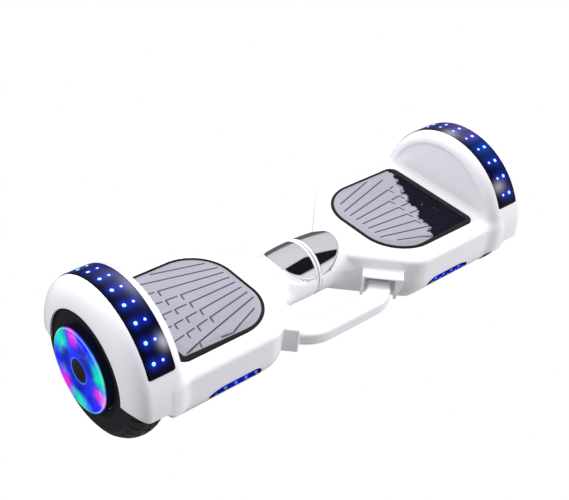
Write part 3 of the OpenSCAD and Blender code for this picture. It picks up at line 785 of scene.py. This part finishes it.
def strip_material(side):
    """Glossy black cover; lamps throw blue halos, a soft haze lies along it, and grey patches of
    painted reflection glow on it.
    """
    g = Finish("gloss_black_" + side, (0.003, 0.003, 0.004), 0.10, Specular_IOR_Level=0.03)
    look, angle = STRIP_LOOKS[side], g.angle()
    pair = g.math("DIVIDE", g.add(angle, PAIRS / 2 * PITCH), PITCH)
    along_pair = g.mul(g.sub(g.math("FRACT", pair), 0.5), PITCH * math.pi / 180 * ARC_R)
    lit_arc = g.mul(g.fade(angle, zero=-64.5, one=-63), g.fade(angle, zero=64.5, one=63))

    def spot(x, width):
        return g.bell([along_pair, g.sub(g.out, x)], width)

    halo = g.add(spot(OUTER_LAMP_X, width=5.6), g.mul(spot(INNER_LAMP_X, width=4.6), 0.85))
    along = g.math("DIVIDE", g.add(angle, STRIP_ANGLE), 2 * STRIP_ANGLE)
    across = g.math("DIVIDE", g.sub(g.out, STRIP_START), STRIP_END - STRIP_START)
    # grey patches of painted reflection, added to the glow of the glossy black cover
    grey = g.add(*[g.mul(g.gauss(along, at, wide), g.gauss(across, x_at, x_wide), strength)
                   for at, wide, x_at, x_wide, strength in look["painted_sheen"]])
    wavy = g.add(0.45, g.mul(g.noise(scale=38, detail=3), 1.1))
    haze_share = g.mul(g.fade(across, **look["side"]), wavy, 0.36)
    colour = g.mix(haze_share, (0.0, 0.0, 0.002), g.ramp(along, look["haze"]))
    colour = g.mix(1.0, colour, g.mix(grey, (0, 0, 0), (0.75, 0.75, 0.82)), "ADD")
    blue = g.mix(g.mul(halo, lit_arc), (0, 0, 0), (0.004, 0.020, 0.42))
    g.glow(g.mix(1.0, colour, blue, "ADD"))
    return g.material


def lamp_material():
    """Lamp dots: the outer ones pale blue, the inner ones whiter."""
    g = Finish("blue_lamp", (0.3, 0.5, 0.9), 0.3)
    colour = g.mix(g.fade(g.out, zero=250, one=255), (0.42, 0.50, 1.0), (0.22, 0.50, 1.0))
    g.glow(colour, strength=1.25)
    return g.material


HUB_HUES = [  # one third of a turn
    (0.0, (0.95, 0.02, 0.75)), (0.07, (0.60, 0.03, 0.85)), (0.15, (0.05, 0.03, 0.95)),
    (0.34, (0.01, 0.02, 0.90)), (0.46, (0.02, 0.16, 0.95)), (0.58, (0.0, 0.62, 0.62)),
    (0.70, (0.01, 0.80, 0.48)), (0.80, (0.0, 0.45, 0.60)), (0.88, (0.06, 0.06, 0.90)),
    (0.94, (0.65, 0.03, 0.80)), (1.0, (0.95, 0.02, 0.75))]


def hub_material():
    """Lit lens: three rounds of magenta, blue and green at the rim, deep blue at the middle."""
    off = (0.002, 0.003, 0.008)
    g = Finish("hub_light", off, 0.12, Specular_IOR_Level=0.03)
    r = g.radius()
    warp = g.mul(g.sub(g.noise(scale=26), 0.5), 0.22)
    turn = g.math("DIVIDE", g.add(g.angle(), 378.0), 120.0)
    hue = g.ramp(g.math("FRACT", g.add(turn, warp)), HUB_HUES)
    cloud = g.fade(g.noise(scale=34), zero=0.35, one=0.65)
    deep = g.mix(cloud, (0.003, 0.006, 0.40), (0.02, 0.04, 0.95))
    colour = g.mix(g.fade(r, zero=24, one=35), deep, hue)
    streak = g.fade(g.noise(scale=55, detail=3), zero=0.50, one=0.72)
    streak = g.mul(streak, g.fade(r, zero=18, one=36), 0.35)
    colour = g.mix(streak, colour, (0.45, 0.75, 1.0))
    dark = g.fade(g.noise(scale=44), zero=0.56, one=0.40)
    dark = g.mul(dark, g.fade(r, zero=38, one=28), 0.55)
    colour = g.mix(dark, colour, (0.002, 0.003, 0.08))
    # a bright line near the rim and a blue one round the cap
    rim_line = g.mul(g.gauss(r, centre=45.2, width=0.55), 0.8)
    colour = g.mix(rim_line, colour, (0.35, 0.75, 1.0))
    colour = g.mix(g.gauss(r, centre=14.0, width=0.7), colour, (0.10, 0.20, 0.95))
    g.glow(g.mix(g.fade(g.out, zero=287.6, one=288.8), off, colour))
    return g.material


def painted_panel_reflection(g):
    """Painted reflection: how far the mirrored line of sight, off a level top, would meet a dark
    face at the wheel end; the result darkens the pad's own colour.
    """
    rays = g.new("SeparateXYZ")
    g.put(rays.inputs[0], g.new("NewGeometry").outputs["Incoming"])
    ray_x, ray_y, ray_z = g.mul(rays.outputs[0], -1.0), g.mul(rays.outputs[1], -1.0), rays.outputs[2]
    slope = g.math("DIVIDE", ray_x, g.math("MAXIMUM", ray_z, 0.05))
    hit_x = g.add(g.out, g.mul(slope, 60.0))
    ragged = g.mul(g.sub(g.noise(scale=95, detail=3, rough=0.6), 0.5), 34.0)
    edge = g.add(hit_x, g.mul(g.y, -0.47), ragged)
    seen = g.mul(g.fade(ray_x, zero=0.25, one=0.45), g.fade(ray_y, zero=0.15, one=0.30),
                 g.fade(edge, zero=243.5, one=248.5))
    # painted glint specks: lighter flecks that break up the painted reflection
    painted_glint_specks = g.fade(g.noise(scale=150), zero=0.70, one=0.76)
    return g.mul(seen, g.sub(1.0, g.mul(painted_glint_specks, 0.5)))


def pad_material(side):
    """Lavender grey pad with dark grooves; on the right one a painted reflection of a dark face at
    the wheel end darkens the colour.
    """
    g = Finish("grey_pad_" + side, (0.40, 0.39, 0.46), 0.28)
    groove = g.new("Attribute")
    groove.attribute_name = "groove"
    cloud = g.mul(g.fade(g.noise(scale=14), zero=0.3, one=0.7), 0.5)
    colour = g.mix(cloud, (0.325, 0.318, 0.372), (0.275, 0.270, 0.325))
    rim = g.mul(g.fade(g.z, zero=107.6, one=105.0), 0.75)
    colour = g.mix(rim, colour, (0.36, 0.355, 0.385))
    clear = 1.0
    if side == "right":
        # painted reflection: near black base colour where the mirrored view would meet a dark face;
        # coat, specular and groove marks are turned down there
        painted_reflection = painted_panel_reflection(g)
        colour = g.mix(painted_reflection, colour, (0.010, 0.009, 0.016))
        clear = g.sub(1.0, painted_reflection)
    line = g.mul(groove.outputs["Fac"], clear, 0.93)
    colour = g.mix(line, colour, (0.030, 0.026, 0.048))
    g.set(Base_Color=colour, Coat_Weight=g.mul(clear, 0.15), Coat_Roughness=0.08,
          Specular_IOR_Level=g.mul(clear, 0.35))
    g.bump(g.noise(scale=300), strength=0.05, distance=0.0002)
    return g.material


def tyre_material():
    """Black rubber, a little greyer on the sidewalls."""
    g = Finish("tyre_rubber", (0.008, 0.0075, 0.009), 0.50, Specular_IOR_Level=0.10)
    wall = g.mul(g.fade(g.radius(), zero=84, one=60), 0.9)
    colour = g.mix(wall, (0.006, 0.0055, 0.007), (0.014, 0.0135, 0.017))
    dust = g.mul(g.noise(scale=120, detail=3), 0.25)
    g.set(Base_Color=g.mix(dust, colour, (0.018, 0.018, 0.021)))
    return g.material


def window_material():
    """Deep blue window with small pale lamp dots in pairs."""
    first, pitch, row_z = 127.0, 13.2, 63.6
    g = Finish("blue_window", (0.002, 0.003, 0.02), 0.15, Specular_IOR_Level=0.0)
    pair = g.math("DIVIDE", g.sub(g.out, first), pitch)
    along = g.mul(g.sub(g.math("FRACT", pair), 0.5), pitch)

    def dots(shift, lift, width):
        return g.bell([g.sub(along, shift), g.sub(g.z, row_z + lift)], width)

    lamps = g.add(dots(shift=1.6, lift=3.0, width=1.35), dots(shift=-1.2, lift=-2.6, width=1.2))
    lamps = g.mul(lamps, g.fade(g.out, zero=127, one=131), g.fade(g.out, zero=188, one=184))
    middle = g.mul(g.fade(g.out, zero=124, one=140), g.fade(g.out, zero=193, one=176))
    cloud = g.fade(g.noise(scale=60), zero=0.3, one=0.7)
    colour = g.mix(g.mul(middle, cloud), (0.001, 0.0015, 0.10), (0.0, 0.012, 0.50))
    colour = g.mix(g.fade(g.out, zero=188, one=192.5), colour, (0.0, 0.0, 0.01))
    share = g.math("MINIMUM", g.mul(lamps, 0.9), 1.0)
    g.glow(g.mix(share, colour, (0.45, 0.62, 1.0)))
    return g.material


def inner_material(name, colour, rough, metal):
    """Finish of a piece inside, which shows when the shells are open."""
    g = Finish(name, colour, rough, metal)
    if name == "circuit_board":
        rows = g.mul(g.math("SNAP", g.y, 9.0), 0.7)
        lines = g.math("PINGPONG", g.add(g.x, rows), 3.0)
        pattern = g.mix(g.fade(lines, zero=2.5, one=2.9), colour, (0.03, 0.22, 0.09))
    else:
        cloud = g.mul(g.noise(scale=90, detail=3), 0.35)
        pattern = g.mix(cloud, colour, tuple(c * 0.6 for c in colour))
    g.set(Base_Color=pattern)
    if name in ("cast_frame", "rotor_alloy"):
        g.bump(g.noise(scale=700), strength=0.15, distance=0.0003)
    if name == "battery_wrap":
        g.set(Coat_Weight=0.4)
    return g.material


WHITE = Finish("white_shell", (0.85, 0.847, 0.872), rough=0.22, Coat_Weight=0.25,
               Coat_Roughness=0.06, Specular_IOR_Level=0.45).material
BLACK = Finish("black_plastic", (0.008, 0.008, 0.010), rough=0.38,
               Specular_IOR_Level=0.2).material
RUBBER = Finish("black_rubber", (0.006, 0.006, 0.007), rough=0.45,
                Specular_IOR_Level=0.2).material
CHROME = Finish("chrome_trim", (0.80, 0.80, 0.83), rough=0.055, metal=1.0).material
METAL = Finish("button_metal", (0.62, 0.63, 0.66), rough=0.28, metal=1.0).material


# ------------------------------------------------------------------ pieces
def add_object(name, shape, material, mirror=False, smooth=38):
    """Mesh object from (vertices, quads) in mm, with edges sharper than smooth degrees kept."""
    verts, quads = shape
    verts = verts * 0.001
    if mirror:
        verts[:, 0] *= -1
        quads = quads[:, ::-1]
    mesh = bpy.data.meshes.new(name)
    mesh.vertices.add(len(verts))
    mesh.vertices.foreach_set("co", verts.astype(np.float32).ravel())
    mesh.loops.add(quads.size)
    mesh.loops.foreach_set("vertex_index", quads.astype(np.int32).ravel())
    mesh.polygons.add(len(quads))
    mesh.polygons.foreach_set("loop_start", np.arange(0, quads.size, 4, dtype=np.int32))
    mesh.update(calc_edges=True)
    mesh.validate()
    mesh.shade_smooth()
    mesh.set_sharp_from_angle(angle=math.radians(smooth))
    mesh.materials.append(material)
    o = bpy.data.objects.new(name, mesh)
    bpy.context.scene.collection.objects.link(o)
    return o


def add_piece(name, shape, material, rides, mirror=False, smooth=38):
    """Shows a shape in place of the CAD piece of that name."""
    o = add_object(name + "_looks", shape, material, mirror, smooth)
    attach(o, rides)
    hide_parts(name)
    return o


def add_pair(name, shape, materials, rides="half", smooth=38):
    """Left and right piece; materials is one for both, or a dict by side."""
    if not isinstance(materials, dict):
        materials = dict.fromkeys(SIDES, materials)
    return [add_piece(f"{side}_{name}", shape, materials[side], f"{side}_{rides}",
                      mirror=side == "left", smooth=smooth) for side in SIDES]


def add_shells():
    for side in SIDES:
        top = surface(partial(top_shell, side=side), (0, -99, 52), (290, 99, 184), SHELL_CELL)
        bottom = surface(partial(bottom_shell, side=side), (0, -94, 30), (232, 94, 60),
                         SHELL_CELL * 1.1)
        for name, shape in (("top", top), ("bottom", bottom)):
            add_piece(f"{side}_{name}_shell", shape, WHITE, side + "_half",
                      mirror=side == "left")


def add_foot_pads():
    """Pads with their grooves marked for the finish."""
    verts, quads = surface(foot_pad, (78, -75, 99), (218, 75, 111), PAD_CELL)
    pads = add_pair("foot_pad", (verts, quads),
                    {side: pad_material(side) for side in SIDES}, rides="pad", smooth=50)
    x, y, z = verts.T
    mark = np.exp(-(groove_distance(x, y) / 0.95) ** 4) * ease(105.2, 105.9, z)
    for pad in pads:
        groove = pad.data.attributes.new("groove", "FLOAT", "POINT")
        groove.data.foreach_set("value", mark.astype(np.float32))


def add_centre_seal():
    """Dark seal between the collar rings."""
    o = add_object("centre_seal", sweep(CENTRE_SEAL, 120), RUBBER)
    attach(o, "left_half")


add_shells()
add_piece("handle", surface(handle, (-128, -98, 56), (128, -30, 81), 1.0), WHITE,
          "left_half")
add_pair("chrome_cap", surface(cap, (0, -38, 86), (48, 38, 122), 0.8), CHROME,
         smooth=40)
add_pair("light_window", surface(light_window, (120, -94, 54), (199, -74, 76), 0.8),
         window_material())
add_foot_pads()
add_pair("pad_gasket", surface(gasket, (76, -78, 98), (220, 78, 109), 0.9), RUBBER)
add_pair("collar_ring", sweep(COLLAR_RING, 180), WHITE, smooth=30)
add_centre_seal()
add_pair("fender_strip", fender_strip(),
         {side: strip_material(side) for side in SIDES}, smooth=30)
add_pair("fender_lamps", fender_lamps(), lamp_material(), smooth=60)
add_pair("tyre", tyre(), tyre_material(), rides="wheel", smooth=42)
add_pair("hub_lens", sweep(HUB_LENS, 240), hub_material(), rides="wheel", smooth=35)
add_pair("hub_cap", sweep(HUB_CAP, 120), BLACK, rides="wheel", smooth=35)

# CAD pieces shown as they are: slot, finish (colour, rough, metal) or material, pieces;
# a piece that starts with * is one on each side
CAD_FINISHES = [
    ("cast_frame", ((0.33, 0.34, 0.36), 0.5, 0.85), "*chassis *axle_clamp"),
    ("dark_steel", ((0.09, 0.09, 0.10), 0.38, 0.9),
     "*clamp_bolts *shell_screws shaft_circlip battery_bracket handle_screws *magnet_ring"),
    ("steel", ((0.52, 0.53, 0.55), 0.30, 1.0), "*motor_axle *wheel_bearings pivot_shaft"),
    ("stator_copper", ((0.55, 0.24, 0.09), 0.42, 0.8), "*stator"),
    ("rotor_alloy", ((0.50, 0.51, 0.54), 0.36, 0.95), "*rotor_shell *motor_cover"),
    ("bronze", ((0.42, 0.27, 0.09), 0.35, 0.95), "pivot_bushes"),
    ("battery_wrap", ((0.03, 0.10, 0.42), 0.30, 0.0), "battery_pack"),
    ("circuit_board", ((0.012, 0.10, 0.045), 0.42, 0.0), "*sensor_board main_board"),
    ("black_rubber", RUBBER, "centre_cable"),
    ("black_plastic", BLACK, "speaker charge_port charge_port_cap button_bezel"),
    ("button_metal", METAL, "power_button"),
]


def finish_cad_pieces():
    for slot, finish, pieces in CAD_FINISHES:
        material = inner_material(slot, *finish) if isinstance(finish, tuple) else finish
        for piece in pieces.split():
            sides = [side + "_" for side in SIDES] if piece[0] == "*" else [""]
            for side in sides:
                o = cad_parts[side + piece.lstrip("*")]
                o.data.materials.clear()
                o.data.materials.append(material)


finish_cad_pieces()


# ------------------------------------------------------------------ light
def build_world():
    """White to the camera, soft light for matt rays, a banded room for glossy ones."""
    world = bpy.data.worlds.new("studio")
    bpy.context.scene.world = world
    world.use_nodes = True
    world.node_tree.nodes.clear()
    g = Nodes(world.node_tree)
    direction = g.new("SeparateXYZ")
    g.put(direction.inputs[0], g.new("TexCoord").outputs["Generated"])
    x, y, z = direction.outputs

    # soft light: bright above, dimmer from where the camera stands
    camera_side = g.fade(g.add(g.mul(x, -0.70), g.mul(y, -0.70)), zero=0.30, one=0.95)
    soft = g.add(0.66, g.mul(g.fade(z, zero=-0.15, one=0.75), 0.62))
    soft = g.sub(soft, g.mul(camera_side, 0.72))
    soft = g.sub(soft, g.mul(g.fade(z, zero=0.0, one=-0.8), 0.05))
    soft = g.math("MAXIMUM", soft, 0.06)

    # room: pale, with a dark patch high towards -Y, a dark band low towards +Y,
    # and a brighter part low towards -Y
    bend = g.add(y, g.mul(g.math("ABSOLUTE", g.sub(x, 0.53)), 0.8))
    patch = g.mul(g.fade(bend, zero=-0.17, one=-0.23), g.fade(z, zero=0.26, one=0.37))
    band = g.mul(g.fade(y, zero=0.30, one=0.50), g.fade(z, zero=0.34, one=0.14), 0.80)
    dark = g.math("MAXIMUM", patch, band)
    bright = g.mul(g.fade(z, zero=0.30, one=0.15), g.fade(y, zero=0.1, one=-0.1), 0.24)
    pale = g.add(0.68, g.mul(z, 0.14), bright)
    room = g.add(g.mul(pale, g.sub(1.0, dark)), 0.010)

    rays = g.new("LightPath").outputs
    glossy = rays["Is Glossy Ray"]
    level = g.add(g.mul(soft, g.sub(1.0, glossy)), g.mul(room, glossy))
    tint = g.new("CombineColor")
    for socket, share in zip(tint.inputs, (0.985, 0.980, 1.02)):
        g.put(socket, g.mul(level, share))
    mix = g.new("MixShader")
    g.put(mix.inputs[0], rays["Is Camera Ray"])
    for socket, colour in ((1, tint.outputs[0]), (2, (1, 1, 1))):
        background = g.new("Background")
        g.put(background.inputs[0], colour)
        g.put(mix.inputs[socket], background.outputs[0])
    g.put(g.new("OutputWorld").inputs[0], mix.outputs[0])


def add_light(name, place, target, size, power, colour=(1, 1, 1)):
    """Round area light, in metres and watts, that bright trim doesn't mirror."""
    light = bpy.data.lights.new(name, "AREA")
    light.shape, light.size, light.energy, light.color = "DISK", size, power, colour
    o = bpy.data.objects.new(name, light)
    bpy.context.scene.collection.objects.link(o)
    o.location = place
    o.rotation_euler = (Vector(target) - Vector(place)).to_track_quat("-Z", "Y").to_euler()
    o.visible_glossy = False


build_world()
add_light("key", place=(0.5, 0.9, 2.0), target=(0, 0, 0.08), size=1.6, power=26)
add_light("left_soft", place=(-1.0, 0.62, 0.40), target=(-0.28, 0, 0.08), size=0.5, power=5,
          colour=(0.99, 0.98, 1.0))
add_light("front_soft", place=(1.5, -1.15, 0.35), target=(0.1, 0, 0.08), size=0.8, power=14,
          colour=(1.0, 0.99, 0.99))


# ------------------------------------------------------------------ camera
def add_camera():
    """Looks down on the board from -X, -Y; place in metres."""
    place = (-0.7064, -0.7079, 0.8459)
    turn = Matrix(((0.7571, 0.3406, -0.5574),
                   (-0.6487, 0.4924, -0.5802),
                   (0.0768, 0.8009, 0.5938)))
    turn = turn.to_quaternion().to_matrix()  # makes the rounded rows a true rotation
    camera = bpy.data.cameras.new("camera")
    o = bpy.data.objects.new("camera", camera)
    scene = bpy.context.scene
    scene.collection.objects.link(o)
    camera.sensor_fit, camera.sensor_width, camera.lens = "HORIZONTAL", 36.0, 70.48
    camera.clip_start, camera.clip_end = 0.01, 50
    o.matrix_world = Matrix.Translation(place) @ turn.to_4x4()
    scene.camera = o
    scene.view_settings.view_transform = "Standard"
    scene.view_settings.look = "None"


add_camera()
